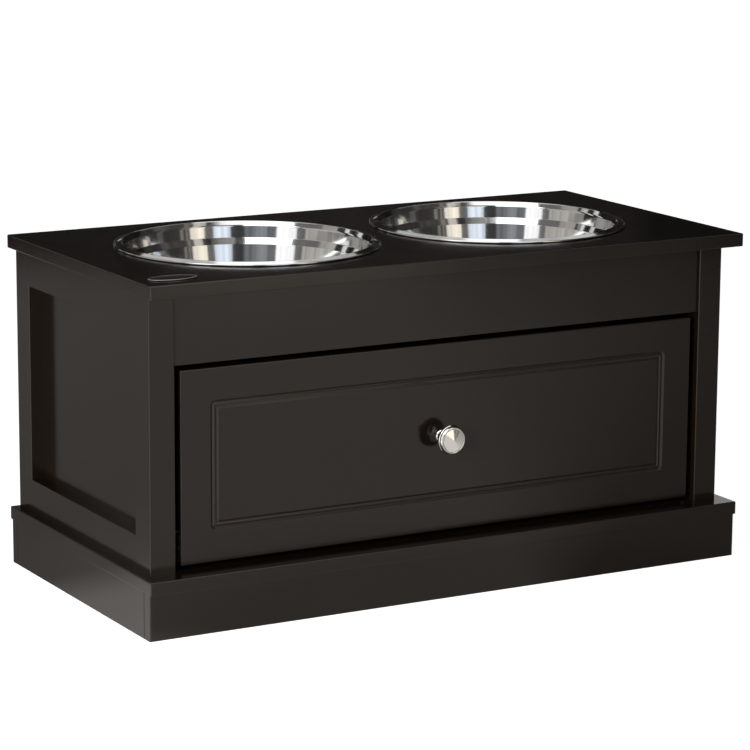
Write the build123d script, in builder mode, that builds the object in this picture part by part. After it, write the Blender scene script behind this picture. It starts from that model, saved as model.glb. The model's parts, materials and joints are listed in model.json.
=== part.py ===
from build123d import *
import os

# Elevated dog feeder: a painted cabinet with two lift-out bowls in its top and one wide drawer.
# Millimetres, +Z up, +X to the right, front towards -Y. The origin lies on the floor under the middle.

# ---------------------------------------------------------------- driving dimensions
BOARD = 12.0                # thickness of every painted board
FIT = 0.05                  # radial play of a dowel or screw in its hole
EASE = 1.0                  # rounding of the boards' long edges
ARRIS = 0.4                 # chamfer round the side panels

# top, ledge and plinth
TOP_W = 600.0
TOP_D = 302.0
TOP_CORNER = 2.0            # rounded vertical corners of the top
LEDGE_W = 602.0
LEDGE_D = 301.0
LEDGE_CORNER = 1.2
PLINTH_W = 601.0
PLINTH_H = 40.5
PLINTH_INSET = 3.0          # plinth behind the ledge, front and back
PLINTH_DOWEL_IN = 8.0       # depth in the front and back boards
PLINTH_DOWEL_EDGE = 11.0    # from the boards' upper and lower edges
CORNER_BLOCK = 30.0         # square in plan
CORNER_BLOCK_H = 28.0

# cabinet frame
CABINET_W = 583.0
CABINET_H = 241.0
CABINET_SETBACK = 22.0      # legs behind the front edge of the top
LEG_W = 24.0                # seen from the front
LEG_D = 29.0                # seen from the side
RAIL_TOP_H = 32.0
RAIL_BOTTOM_H = 29.5
PANEL_T = 5.0
PANEL_RECESS = 12.4         # side panel behind the frame's outer face
GROOVE_DEPTH = 6.0
GROOVE_PLAY = 0.5           # panel edge short of the groove's floor
FRONT_RECESS = 3.0          # apron and drawer front behind the legs
APRON_H = 62.5
BACK_RAIL_H = 40.0
BACK_PANEL_T = 6.0
BACK_REBATE = 8.0

# dowels
DOWEL_R = 3.0
DOWEL_HALF = 12.0           # usual depth in each of the two boards
CROSS_DOWEL_IN = 10.0       # depth of the apron's and back rail's dowels in the legs
TOP_DOWEL_UP = 8.0          # depth in the top
TOP_DOWEL_X = 200.0
TOP_DOWEL_Y = 70.0
LOW_RAIL_DOWELS = (5.5, 20.0)       # levels above the ledge
HIGH_RAIL_DOWELS = (22.0, 8.0)      # levels below the top
APRON_DOWELS = (48.5, 14.0)         # levels below the top
BACK_RAIL_DOWELS = (32.0, 16.0)     # levels below the top

# countersunk screws: thread radius, head radius, length
SCREW_CROSS_SPAN = 0.6      # arm of the cross recess, in head radii
SCREW_CROSS_BLADE = 0.3     # width of that arm, in arm lengths
SCREW_END_GAP = 1.0         # hole beyond the screw's end
BASE_SCREW_R = 2.0
BASE_SCREW_HEAD_R = 4.0
BASE_SCREW_L = 42.0
BASE_SCREW_EDGE = 9.0       # from the leg's front or back face
BLOCK_SCREW_R = 1.75
BLOCK_SCREW_HEAD_R = 3.5
BLOCK_SCREW_BITE = 9.0      # length in the base board
BLOCK_SCREW_IN = 18.0       # from the block's outer faces
BACK_SCREW_R = 1.5
BACK_SCREW_HEAD_R = 3.0
BACK_SCREW_L = 16.0
BACK_SCREW_LEVELS = (22.0, 110.0, 190.0)    # above the ledge, in the legs
BACK_SCREW_SPACING = 180.0  # along the back rail

# bare oval plate on the top
PLATE_L = 45.0
PLATE_W = 22.0
PLATE_T = 0.9
PLATE_X = -266.0
PLATE_Y = -123.0
PLATE_RIM = 1.6
PLATE_SUNK = 0.35
PLATE_EASE = 0.3

# bowls
BOWL_X = 130.4              # bowl centres left and right of the middle
BOWL_Y = 4.0
BOWL_HOLE_R = 111.5
BOWL_RIM_R = 119.3
BOWL_RIM_H = 3.6            # crest of the mouth above the top
BOWL_RIM_FALL = 1.4         # fall of the flange towards its edge
BOWL_MOUTH_R = 112.0
BOWL_SHOULDER_R = 109.1     # where the flared mouth meets the wall
BOWL_SHOULDER_DOWN = 1.0
BOWL_DEPTH = 65.0
BOWL_SHEET = 0.9            # stainless sheet
BOWL_REST = 0.1             # air under the rim's lip
BOWL_STEP_DOWN = 11.5       # stacking step below the top
BOWL_STEP_H = 5.7
BOWL_STEP_IN = 3.4
BOWL_TAPER = 1.9            # narrowing of the wall from the shoulder to the step
BOWL_FOOT_R = 93.0
BOWL_BENDS = (1.2, 1.5, 4.0, 1.6, 1.6, 12.0)    # rim's edge, mouth, shoulder, step's top and foot, floor

# drawer runners, their rollers and screws
RUNNER_SPACE = 13.0         # each side, between the cabinet and the drawer box
RUNNER_L = 250.0
RUNNER_H = 22.0
RUNNER_FLANGE = 11.0
RUNNER_IN = 1.0             # runners behind the drawer front
RUNNER_RISE = 4.5           # cabinet runner above the base board
SHEET = 1.2                 # runner steel
ROLLER_R = 8.5
ROLLER_W = 5.5
ROLLER_PLAY = 0.3           # roller above its track
ROLLER_TREAD = 1.6          # rim round the recess in a roller's face
ROLLER_HUB_R = 4.4
ROLLER_DISH = 0.8
ROLLER_EASE = 0.5
ROLLER_CLEAR = 3.0          # front roller off the leg
ROLLER_GAP = 1.2            # rear roller off the drawer runner's web
FRONT_ROLLER_IN = 19.0      # from the front end of the cabinet runner
REAR_ROLLER_IN = 22.0       # from the back end of the cabinet runner
FLANGE_CUT = 2.0            # upper flange behind the front roller
TRACK_RISE = 3.8            # drawer runner's track above the cabinet runner
TRACK_CLEAR = 2.0           # track off the leg
RUNNER_TAIL = 9.0           # drawer runner behind its roller's axis
PIN_R = 2.0
PIN_HEAD_R = 3.5
PIN_HEAD_T = 1.0
PIN_RUNNING_FIT = 0.05      # radial play of a roller on its pin
PIN_SLACK = 0.1             # roller to pin head
RUNNER_SCREW_R = 1.75
RUNNER_SCREW_HEAD_R = 3.2
RUNNER_SCREW_HEAD_T = 1.3
RUNNER_SCREW_L = 13.0       # in the leg
RUNNER_SCREW_RISE = 10.0    # above the runner's lower edge
RUNNER_SCREW_END = 6.0      # from the runner's ends
DRAWER_SCREW_R = 1.75
DRAWER_SCREW_HEAD_R = 3.0
DRAWER_SCREW_HEAD_T = 1.2
DRAWER_SCREW_L = 11.0       # in the drawer side
DRAWER_SCREW_RISE = 5.0     # above the drawer side's lower edge
DRAWER_SCREWS_IN = (30.0, 105.0, 180.0)     # from the front end of the runner

# drawer box and its fittings
BOX_L = 240.0               # behind the drawer front
BOX_H = 140.0
BOX_RISE = 9.5              # above the base board
BOTTOM_T = 4.0
BOTTOM_RISE = 12.0          # drawer bottom above the sides' lower edge
CAM_R = 7.4
CAM_DEPTH = 9.3
CAM_BACK = 24.0             # cam centre behind the drawer front
CAM_LOW = 32.0              # above the drawer side's lower edge
CAM_HIGH = 28.0             # below its upper edge
CAM_SLOT_L = 11.0
CAM_SLOT_W = 1.6
CAM_SLOT_DEPTH = 2.0
CAM_SLOT_ANGLES = (45, 135)
CAM_BOLT_R = 2.5
CAM_BOLT_IN = 8.0
BOX_DOWEL_IN = 8.0          # depth in the drawer front, and of the back's dowels in the sides
SIDE_SCREW_R = 2.0
SIDE_SCREW_HEAD_R = 3.8
SIDE_SCREW_L = 38.0
SIDE_SCREW_EDGE = 20.0      # from the drawer back's upper and lower edges
BOTTOM_SCREW_L = 16.0
BOTTOM_SCREW_SPACING = 160.0

# drawer front
FRONT_W = 522.0
FRONT_H = 170.0
FRONT_FLOOR_GAP = 4.0
MOULD_BORDER = 28.3         # plain border outside the routed moulding
MOULD_OUTER_W = 3.6         # outer groove
MOULD_OUTER_DEPTH = 1.9
MOULD_BEAD_W = 0.9          # bead between the two grooves
MOULD_INNER_W = 3.3         # inner groove
MOULD_INNER_DEPTH = 1.2
MOULD_CORNER = 7.0          # radius of the moulding's outer corners
MOULD_TURN = 0.55           # tightest turn of a groove's middle line, in groove widths
MOULD_FLOOR = 0.4           # width of a groove's floor, in groove widths
MOULD_CUTTER = 0.4          # the grooves' cutter starts this far in front of the face

# knob and its screw; the knob's places are distances in front of the drawer
KNOB_LEFT = 5.2             # left of the drawer front's middle
KNOB_UP = 1.7               # above it
KNOB_FOOT_R = 5.6
KNOB_FOOT_T = 0.8
KNOB_NECK_R = 5.0
KNOB_NECK_AT = 6.5
KNOB_FLARE_R = 12.3
KNOB_FLARE_AT = 15.8
KNOB_RIM_R = 13.2
KNOB_RIM_AT = 17.2
KNOB_SHOULDER_R = 12.6
KNOB_SHOULDER_AT = 20.3
KNOB_FACE_R = 11.3
KNOB_FACE_AT = 22.0
KNOB_RING_R = (11.0, 10.75, 10.5)   # outer wall, inner wall and inner lip of the thin turned ring
KNOB_RING_DEPTH = 0.45
KNOB_DOME = 1.3             # the face is a shallow cone inside the ring
KNOB_SCREW_R = 2.0
KNOB_SCREW_IN = 9.0         # thread in the knob
KNOB_SCREW_HEAD_R = 4.2
KNOB_SCREW_HEAD_T = 2.4
KNOB_SCREW_EASE = 1.0
KNOB_SCREW_CROSS = (5.0, 0.9, 1.4)  # length, width and depth of an arm of its recess

# ---------------------------------------------------------------- levels and faces
LEDGE_Z = PLINTH_H
BASE_Z = PLINTH_H + BOARD                   # top of the ledge, where the legs stand
TOP_Z = BASE_Z + CABINET_H                  # underside of the top
SURFACE_Z = TOP_Z + BOARD
BACK_Y = TOP_D / 2                          # top, ledge and cabinet are flush at the back
LEG_FRONT_Y = -TOP_D / 2 + CABINET_SETBACK
LEG_OUT_X = CABINET_W / 2
LEG_IN_X = LEG_OUT_X - LEG_W
LEG_MID_X = (LEG_OUT_X + LEG_IN_X) / 2
OPEN_FRONT_Y = LEG_FRONT_Y + LEG_D          # side opening between the front and back leg
OPEN_BACK_Y = BACK_Y - LEG_D
OPEN_LOW_Z = BASE_Z + RAIL_BOTTOM_H
OPEN_HIGH_Z = TOP_Z - RAIL_TOP_H
PANEL_OUT_X = LEG_OUT_X - PANEL_RECESS
PANEL_IN_X = PANEL_OUT_X - PANEL_T
PANEL_REACH = GROOVE_DEPTH - GROOVE_PLAY    # panel in its groove

FACE_Y = LEG_FRONT_Y + FRONT_RECESS         # front of the apron and of the drawer
INNER_Y = FACE_Y + BOARD
FRONT_Z0 = BASE_Z + FRONT_FLOOR_GAP
FRONT_Z1 = FRONT_Z0 + FRONT_H
FRONT_MID_Z = (FRONT_Z0 + FRONT_Z1) / 2
KNOB_X = -KNOB_LEFT
KNOB_Z = FRONT_MID_Z + KNOB_UP
BACK_RAIL_Y1 = BACK_Y - BACK_PANEL_T
BACK_RAIL_Y0 = BACK_RAIL_Y1 - BOARD
APRON_MID_Y = FACE_Y + BOARD / 2
BACK_RAIL_MID_Y = BACK_RAIL_Y0 + BOARD / 2

PLINTH_Y0 = BACK_Y - LEDGE_D + PLINTH_INSET
PLINTH_Y1 = BACK_Y - PLINTH_INSET
PLINTH_IN_X = PLINTH_W / 2 - BOARD
PLINTH_DOWEL_X = PLINTH_IN_X + BOARD / 2

SIDE_OUT_X = LEG_IN_X - RUNNER_SPACE        # drawer sides
SIDE_IN_X = SIDE_OUT_X - BOARD
SIDE_MID_X = (SIDE_OUT_X + SIDE_IN_X) / 2
BOX_Z0 = BASE_Z + BOX_RISE
BOX_Z1 = BOX_Z0 + BOX_H
BOX_Y1 = INNER_Y + BOX_L
BOTTOM_Z0 = BOX_Z0 + BOTTOM_RISE
BOTTOM_Z1 = BOTTOM_Z0 + BOTTOM_T
BOX_BACK_MID_Y = BOX_Y1 - BOARD / 2

RUNNER_Y0 = INNER_Y + RUNNER_IN
RUNNER_Y1 = RUNNER_Y0 + RUNNER_L
RUNNER_Z0 = BASE_Z + RUNNER_RISE
RUNNER_Z1 = RUNNER_Z0 + RUNNER_H
RUNNER_SCREW_Z = RUNNER_Z0 + RUNNER_SCREW_RISE
FLANGE_X = LEG_IN_X - RUNNER_FLANGE         # free edge of the cabinet runner's flanges
WEB_X = SIDE_OUT_X + SHEET                  # outer face of the drawer runner's web
TRACK_X = LEG_IN_X - TRACK_CLEAR            # free edge of the drawer runner's track
TRACK_Z = RUNNER_Z1 + TRACK_RISE            # underside of that track
DRAWER_SCREW_Z = BOX_Z0 + DRAWER_SCREW_RISE
FRONT_ROLLER_X1 = LEG_IN_X - ROLLER_CLEAR
FRONT_ROLLER_X0 = FRONT_ROLLER_X1 - ROLLER_W
FRONT_ROLLER_Y = RUNNER_Y0 + FRONT_ROLLER_IN
FRONT_ROLLER_Z = TRACK_Z - ROLLER_PLAY - ROLLER_R
REAR_ROLLER_X0 = WEB_X + ROLLER_GAP
REAR_ROLLER_X1 = REAR_ROLLER_X0 + ROLLER_W
REAR_ROLLER_Y = RUNNER_Y1 - REAR_ROLLER_IN
REAR_ROLLER_Z = RUNNER_Z0 + SHEET + ROLLER_PLAY + ROLLER_R
TOP_FLANGE_Y0 = FRONT_ROLLER_Y + ROLLER_R + FLANGE_CUT
DRAWER_RUNNER_Y1 = REAR_ROLLER_Y + RUNNER_TAIL

LEFT, RIGHT = -1, 1
SIDES = {"left": LEFT, "right": RIGHT}
UP = (0, 0, 1)
DOWN = (0, 0, -1)
TO_BACK = (0, 1, 0)
TO_FRONT = (0, -1, 0)
FROM_FACE = (Align.CENTER, Align.CENTER, Align.MIN)     # a solid that starts at its plane
SAME_LEVEL = 0.01                                       # tolerance when a face is chosen by its height

# ---------------------------------------------------------------- where the fasteners are
top_dowel_places = [
    (side * LEG_MID_X, y, TOP_Z)
    for side in (LEFT, RIGHT)
    for y in (-TOP_DOWEL_Y, TOP_DOWEL_Y)
]
top_dowel_places += [
    (x, y, TOP_Z)
    for x in (-TOP_DOWEL_X, 0, TOP_DOWEL_X)
    for y in (APRON_MID_Y, BACK_RAIL_MID_Y)
]
plinth_dowel_levels = (PLINTH_DOWEL_EDGE, PLINTH_H - PLINTH_DOWEL_EDGE)
plinth_dowel_ends = [(side * PLINTH_DOWEL_X, z) for side in (LEFT, RIGHT) for z in plinth_dowel_levels]
rail_dowel_levels = [BASE_Z + rise for rise in LOW_RAIL_DOWELS] + [TOP_Z - drop for drop in HIGH_RAIL_DOWELS]
apron_dowel_levels = [TOP_Z - drop for drop in APRON_DOWELS]
back_dowel_levels = [TOP_Z - drop for drop in BACK_RAIL_DOWELS]

base_screw_places = [
    (side * LEG_MID_X, y, LEDGE_Z)
    for side in (LEFT, RIGHT)
    for y in (LEG_FRONT_Y + BASE_SCREW_EDGE, BACK_Y - BASE_SCREW_EDGE)
]
block_corners = [
    (side * PLINTH_IN_X, y, side, inward)
    for side in (LEFT, RIGHT)
    for y, inward in ((PLINTH_Y0 + BOARD, 1), (PLINTH_Y1 - BOARD, -1))
]
block_screw_places = [
    (x - side * BLOCK_SCREW_IN, y + inward * BLOCK_SCREW_IN, LEDGE_Z - CORNER_BLOCK_H)
    for x, y, side, inward in block_corners
]
back_leg_screw_levels = [BASE_Z + rise for rise in BACK_SCREW_LEVELS]
back_leg_screw_places = [
    (side * (LEG_IN_X + BACK_REBATE / 2), BACK_Y, z)
    for side in (LEFT, RIGHT)
    for z in back_leg_screw_levels
]
back_rail_screw_places = [
    (x, BACK_Y, TOP_Z - BACK_RAIL_H / 2)
    for x in (-BACK_SCREW_SPACING, 0, BACK_SCREW_SPACING)
]
runner_screw_depths = (RUNNER_Y0 + RUNNER_SCREW_END, RUNNER_Y1 - RUNNER_SCREW_END)

drawer_screw_depths = [RUNNER_Y0 + depth for depth in DRAWER_SCREWS_IN]
cam_levels = (BOX_Z0 + CAM_LOW, BOX_Z1 - CAM_HIGH)
cam_places = [(side * SIDE_IN_X, INNER_Y + CAM_BACK, z) for side in (LEFT, RIGHT) for z in cam_levels]
front_dowel_z = sum(cam_levels) / 2
side_screw_levels = (BOTTOM_Z1 + SIDE_SCREW_EDGE, BOX_Z1 - SIDE_SCREW_EDGE)
back_dowel_z = sum(side_screw_levels) / 2
bottom_screw_places = [
    (x, BOX_BACK_MID_Y, BOTTOM_Z0)
    for x in (-BOTTOM_SCREW_SPACING, 0, BOTTOM_SCREW_SPACING)
]

os.makedirs("parts", exist_ok=True)


# ---------------------------------------------------------------- helpers
def keep(part, name):
    """Labels a finished piece and writes its file."""
    part.label = name
    export_step(part, f"parts/{name}.step")


def block(x, y, z, mode=Mode.ADD):
    """A rectangular block in the current part; x, y and z are its (start, end) along each axis."""
    middle = tuple((start + end) / 2 for start, end in (x, y, z))
    size = tuple(abs(end - start) for start, end in (x, y, z))
    with Locations(middle):
        Box(*size, mode=mode)


def drill(places, towards, radius, depth):
    """Round blind holes in the current part, from each place towards a direction."""
    with Locations(*[Plane(origin=place, z_dir=-Vector(*towards)) for place in places]):
        Hole(radius=radius, depth=depth)


def drill_countersunk(places, towards, radius, head_radius, depth):
    """Round holes with a countersink for a flat screw head."""
    with Locations(*[Plane(origin=place, z_dir=-Vector(*towards)) for place in places]):
        CounterSinkHole(radius=radius, counter_sink_radius=head_radius, depth=depth, counter_sink_angle=90)


def rods(places, towards, radius, length):
    """Plain round pins in the current part, from each place towards a direction."""
    with Locations(*[Plane(origin=place, z_dir=towards) for place in places]):
        Cylinder(radius, length, align=FROM_FACE)


def flat_screws(places, towards, radius, head_radius, length):
    """Countersunk screws with a cross recess, head at each place, driven towards a direction."""
    arm = SCREW_CROSS_SPAN * head_radius
    blade = SCREW_CROSS_BLADE * arm
    with Locations(*[Plane(origin=place, z_dir=towards) for place in places]):
        Cylinder(radius, length, align=FROM_FACE)
        Cone(head_radius, radius, head_radius - radius, align=FROM_FACE)
        Box(2 * arm, blade, arm, align=FROM_FACE, mode=Mode.SUBTRACT)
        Box(blade, 2 * arm, arm, align=FROM_FACE, mode=Mode.SUBTRACT)


def headed_screws(places, towards, radius, length, head_radius, head_height):
    """Flat-topped screws whose heads stand proud of the places that their threads go into."""
    with Locations(*[Plane(origin=place, z_dir=towards) for place in places]):
        Cylinder(radius, length, align=FROM_FACE)
        Cylinder(head_radius, head_height, align=(Align.CENTER, Align.CENTER, Align.MAX))


def outline(part, z):
    """Outer edges of the part's flat face at height z."""
    faces = part.faces().filter_by(Axis.Z)
    level = [face for face in faces if abs(face.center().Z - z) < SAME_LEVEL]
    return level[0].outer_wire().edges()


# ---------------------------------------------------------------- top, ledge and plinth
with BuildPart() as top_panel:
    with BuildSketch(Plane.XY.offset(TOP_Z)):
        RectangleRounded(TOP_W, TOP_D, TOP_CORNER)
        with Locations((-BOWL_X, BOWL_Y), (BOWL_X, BOWL_Y)):
            Circle(BOWL_HOLE_R, mode=Mode.SUBTRACT)
    extrude(amount=BOARD)
    fillet(outline(top_panel, SURFACE_Z) + outline(top_panel, TOP_Z), EASE)
    drill(top_dowel_places, UP, DOWEL_R + FIT, TOP_DOWEL_UP)
keep(top_panel.part, "top_panel")

with BuildPart() as base_board:
    with BuildSketch(Plane.XY.offset(LEDGE_Z)):
        with Locations((0, BACK_Y - LEDGE_D / 2)):
            RectangleRounded(LEDGE_W, LEDGE_D, LEDGE_CORNER)
    extrude(amount=BOARD)
    fillet(outline(base_board, BASE_Z) + outline(base_board, LEDGE_Z), EASE)
    drill_countersunk(base_screw_places, UP, BASE_SCREW_R + FIT, BASE_SCREW_HEAD_R + FIT, BOARD)
    pilot_places = [(x, y, LEDGE_Z) for x, y, _ in block_screw_places]
    drill(pilot_places, UP, BLOCK_SCREW_R + FIT, BLOCK_SCREW_BITE + SCREW_END_GAP)
keep(base_board.part, "base_board")

with BuildPart() as plinth_front:
    block((-PLINTH_W / 2, PLINTH_W / 2), (PLINTH_Y0, PLINTH_Y0 + BOARD), (0, PLINTH_H))
    fillet(plinth_front.faces().sort_by(Axis.Y)[0].edges(), EASE)
    fillet(plinth_front.faces().sort_by(Axis.Y)[-1].edges().filter_by(Axis.Z), EASE)
    places = [(x, PLINTH_Y0 + BOARD, z) for x, z in plinth_dowel_ends]
    drill(places, TO_FRONT, DOWEL_R + FIT, PLINTH_DOWEL_IN)
keep(plinth_front.part, "plinth_front")

with BuildPart() as plinth_back:
    block((-PLINTH_W / 2, PLINTH_W / 2), (PLINTH_Y1 - BOARD, PLINTH_Y1), (0, PLINTH_H))
    fillet(plinth_back.faces().sort_by(Axis.Y)[-1].edges(), EASE)
    fillet(plinth_back.faces().sort_by(Axis.Y)[0].edges().filter_by(Axis.Z), EASE)
    places = [(x, PLINTH_Y1 - BOARD, z) for x, z in plinth_dowel_ends]
    drill(places, TO_BACK, DOWEL_R + FIT, PLINTH_DOWEL_IN)
keep(plinth_back.part, "plinth_back")

for word, side in SIDES.items():
    with BuildPart() as plinth_side:
        width = (side * PLINTH_IN_X, side * PLINTH_W / 2)
        block(width, (PLINTH_Y0 + BOARD, PLINTH_Y1 - BOARD), (0, PLINTH_H))
        outer_face = plinth_side.faces().sort_by(Axis.X)[-1 if side > 0 else 0]
        fillet(outer_face.edges().filter_by(Axis.Z), EASE)
        x = side * PLINTH_DOWEL_X
        drill([(x, PLINTH_Y0 + BOARD, z) for z in plinth_dowel_levels], TO_BACK, DOWEL_R + FIT, DOWEL_HALF)
        drill([(x, PLINTH_Y1 - BOARD, z) for z in plinth_dowel_levels], TO_FRONT, DOWEL_R + FIT, DOWEL_HALF)
    keep(plinth_side.part, f"plinth_side_{word}")

with BuildPart() as plinth_corner_blocks:
    for x, y, side, inward in block_corners:
        width = (x, x - side * CORNER_BLOCK)
        depth = (y, y + inward * CORNER_BLOCK)
        block(width, depth, (LEDGE_Z - CORNER_BLOCK_H, LEDGE_Z))
    drill_countersunk(block_screw_places, UP, BLOCK_SCREW_R + FIT, BLOCK_SCREW_HEAD_R + FIT, CORNER_BLOCK_H)
keep(plinth_corner_blocks.part, "plinth_corner_blocks")

with BuildPart() as plinth_dowels:
    front_y = PLINTH_Y0 + BOARD - PLINTH_DOWEL_IN
    back_y = PLINTH_Y1 - BOARD + PLINTH_DOWEL_IN
    dowel_length = PLINTH_DOWEL_IN + DOWEL_HALF
    rods([(x, front_y, z) for x, z in plinth_dowel_ends], TO_BACK, DOWEL_R, dowel_length)
    rods([(x, back_y, z) for x, z in plinth_dowel_ends], TO_FRONT, DOWEL_R, dowel_length)
keep(plinth_dowels.part, "plinth_dowels")

with BuildPart() as plinth_block_screws:
    screw_length = CORNER_BLOCK_H + BLOCK_SCREW_BITE
    flat_screws(block_screw_places, UP, BLOCK_SCREW_R, BLOCK_SCREW_HEAD_R, screw_length)
keep(plinth_block_screws.part, "plinth_block_screws")

with BuildPart() as base_screws:
    flat_screws(base_screw_places, UP, BASE_SCREW_R, BASE_SCREW_HEAD_R, BASE_SCREW_L)
keep(base_screws.part, "base_screws")


# ---------------------------------------------------------------- cabinet frame
def leg(side, at_back):
    """A corner post: panel groove, chamfer along the panel, and the holes of everything joined to it."""
    y0, y1 = (OPEN_BACK_Y, BACK_Y) if at_back else (LEG_FRONT_Y, OPEN_FRONT_Y)
    inner_y, outer_y, away = (y0, y1, TO_BACK) if at_back else (y1, y0, TO_FRONT)
    into_leg = 1 if at_back else -1
    outward = (side, 0, 0)
    with BuildPart() as post:
        block((side * LEG_IN_X, side * LEG_OUT_X), (y0, y1), (BASE_Z, TOP_Z))
        outer_edges = post.edges().filter_by(Axis.Z).group_by(Axis.Y)[-1 if at_back else 0]
        fillet(outer_edges, EASE)
        groove = (inner_y, inner_y + into_leg * GROOVE_DEPTH)
        block((side * PANEL_IN_X, side * PANEL_OUT_X), groove, (BASE_Z, TOP_Z), mode=Mode.SUBTRACT)
        with BuildSketch(Plane.XY.offset(OPEN_LOW_Z)):
            with BuildLine():
                Polyline(
                    (side * LEG_OUT_X, inner_y),
                    (side * (LEG_OUT_X - ARRIS), inner_y),
                    (side * LEG_OUT_X, inner_y + into_leg * ARRIS),
                    close=True,
                )
            make_face()
        extrude(amount=OPEN_HIGH_Z - OPEN_LOW_Z, mode=Mode.SUBTRACT)
        drill([(side * LEG_MID_X, inner_y, z) for z in rail_dowel_levels], away, DOWEL_R + FIT, DOWEL_HALF)
        base_y = outer_y - into_leg * BASE_SCREW_EDGE
        drill([(side * LEG_MID_X, base_y, BASE_Z)], UP, BASE_SCREW_R + FIT, BASE_SCREW_L - BOARD)
        runner_y = runner_screw_depths[1 if at_back else 0]
        drill([(side * LEG_IN_X, runner_y, RUNNER_SCREW_Z)], outward, RUNNER_SCREW_R + FIT, RUNNER_SCREW_L)
        if at_back:
            rebate_x = (side * LEG_IN_X, side * (LEG_IN_X + BACK_REBATE))
            block(rebate_x, (BACK_RAIL_Y1, BACK_Y), (BASE_Z, TOP_Z), mode=Mode.SUBTRACT)
            screws = [(side * (LEG_IN_X + BACK_REBATE / 2), BACK_RAIL_Y1, z) for z in back_leg_screw_levels]
            drill(screws, TO_FRONT, BACK_SCREW_R + FIT, BACK_SCREW_L - BACK_PANEL_T)
            cross = [(side * LEG_IN_X, BACK_RAIL_MID_Y, z) for z in back_dowel_levels]
        else:
            cross = [(side * LEG_IN_X, APRON_MID_Y, z) for z in apron_dowel_levels]
        drill(cross, outward, DOWEL_R + FIT, CROSS_DOWEL_IN)
    return post.part


def side_rail(side, z0, z1, groove_at_top):
    """A rail between two legs: grooved for the panel, chamfered towards it, dowelled into the legs."""
    edge_z = z1 if groove_at_top else z0
    floor_z = edge_z - GROOVE_DEPTH if groove_at_top else edge_z + GROOVE_DEPTH
    with BuildPart() as rail:
        block((side * LEG_IN_X, side * LEG_OUT_X), (OPEN_FRONT_Y, OPEN_BACK_Y), (z0, z1))
        outer_edges = rail.faces().sort_by(Axis.X)[-1 if side > 0 else 0].edges().filter_by(Axis.Y)
        chamfer(outer_edges.sort_by(Axis.Z)[-1 if groove_at_top else 0], ARRIS)
        groove_x = (side * PANEL_IN_X, side * PANEL_OUT_X)
        block(groove_x, (OPEN_FRONT_Y, OPEN_BACK_Y), (floor_z, edge_z), mode=Mode.SUBTRACT)
        own_levels = [z for z in rail_dowel_levels if z0 < z < z1]
        drill([(side * LEG_MID_X, OPEN_FRONT_Y, z) for z in own_levels], TO_BACK, DOWEL_R + FIT, DOWEL_HALF)
        drill([(side * LEG_MID_X, OPEN_BACK_Y, z) for z in own_levels], TO_FRONT, DOWEL_R + FIT, DOWEL_HALF)
        if not groove_at_top:
            top_holes = [(side * LEG_MID_X, y, TOP_Z) for y in (-TOP_DOWEL_Y, TOP_DOWEL_Y)]
            drill(top_holes, DOWN, DOWEL_R + FIT, DOWEL_HALF)
    return rail.part


def cross_rail(y0, height, end_levels):
    """A board between the left and right legs, under the top and dowelled into all three."""
    middle_y = y0 + BOARD / 2
    with BuildPart() as rail:
        block((-LEG_IN_X, LEG_IN_X), (y0, y0 + BOARD), (TOP_Z - height, TOP_Z))
        fillet(rail.faces().sort_by(Axis.Z)[0].edges().filter_by(Axis.X), EASE)
        for side in (LEFT, RIGHT):
            ends = [(side * LEG_IN_X, middle_y, z) for z in end_levels]
            drill(ends, (-side, 0, 0), DOWEL_R + FIT, DOWEL_HALF)
        top_holes = [(x, middle_y, TOP_Z) for x in (-TOP_DOWEL_X, 0, TOP_DOWEL_X)]
        drill(top_holes, DOWN, DOWEL_R + FIT, DOWEL_HALF)
    return rail.part


for word, side in SIDES.items():
    keep(leg(side, at_back=False), f"leg_front_{word}")
    keep(leg(side, at_back=True), f"leg_back_{word}")
    keep(side_rail(side, OPEN_HIGH_Z, TOP_Z, groove_at_top=False), f"side_top_rail_{word}")
    keep(side_rail(side, BASE_Z, OPEN_LOW_Z, groove_at_top=True), f"side_bottom_rail_{word}")

    with BuildPart() as side_panel:
        block(
            (side * PANEL_IN_X, side * PANEL_OUT_X),
            (OPEN_FRONT_Y - PANEL_REACH, OPEN_BACK_Y + PANEL_REACH),
            (OPEN_LOW_Z - PANEL_REACH, OPEN_HIGH_Z + PANEL_REACH),
        )
    keep(side_panel.part, f"side_panel_{word}")

keep(cross_rail(FACE_Y, APRON_H, apron_dowel_levels), "front_apron")

with BuildPart() as back_top_rail:
    add(cross_rail(BACK_RAIL_Y0, BACK_RAIL_H, back_dowel_levels))
    pilot_places = [(x, BACK_RAIL_Y1, z) for x, _, z in back_rail_screw_places]
    drill(pilot_places, TO_FRONT, BACK_SCREW_R + FIT, BACK_SCREW_L - BACK_PANEL_T)
keep(back_top_rail.part, "back_top_rail")

with BuildPart() as back_panel:
    half_width = LEG_IN_X + BACK_REBATE - GROOVE_PLAY
    block((-half_width, half_width), (BACK_RAIL_Y1, BACK_Y), (BASE_Z, TOP_Z))
    places = back_leg_screw_places + back_rail_screw_places
    drill_countersunk(places, TO_FRONT, BACK_SCREW_R + FIT, BACK_SCREW_HEAD_R + FIT, BACK_PANEL_T)
keep(back_panel.part, "back_panel")

with BuildPart() as back_panel_screws:
    places = back_leg_screw_places + back_rail_screw_places
    flat_screws(places, TO_FRONT, BACK_SCREW_R, BACK_SCREW_HEAD_R, BACK_SCREW_L)
keep(back_panel_screws.part, "back_panel_screws")

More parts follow.
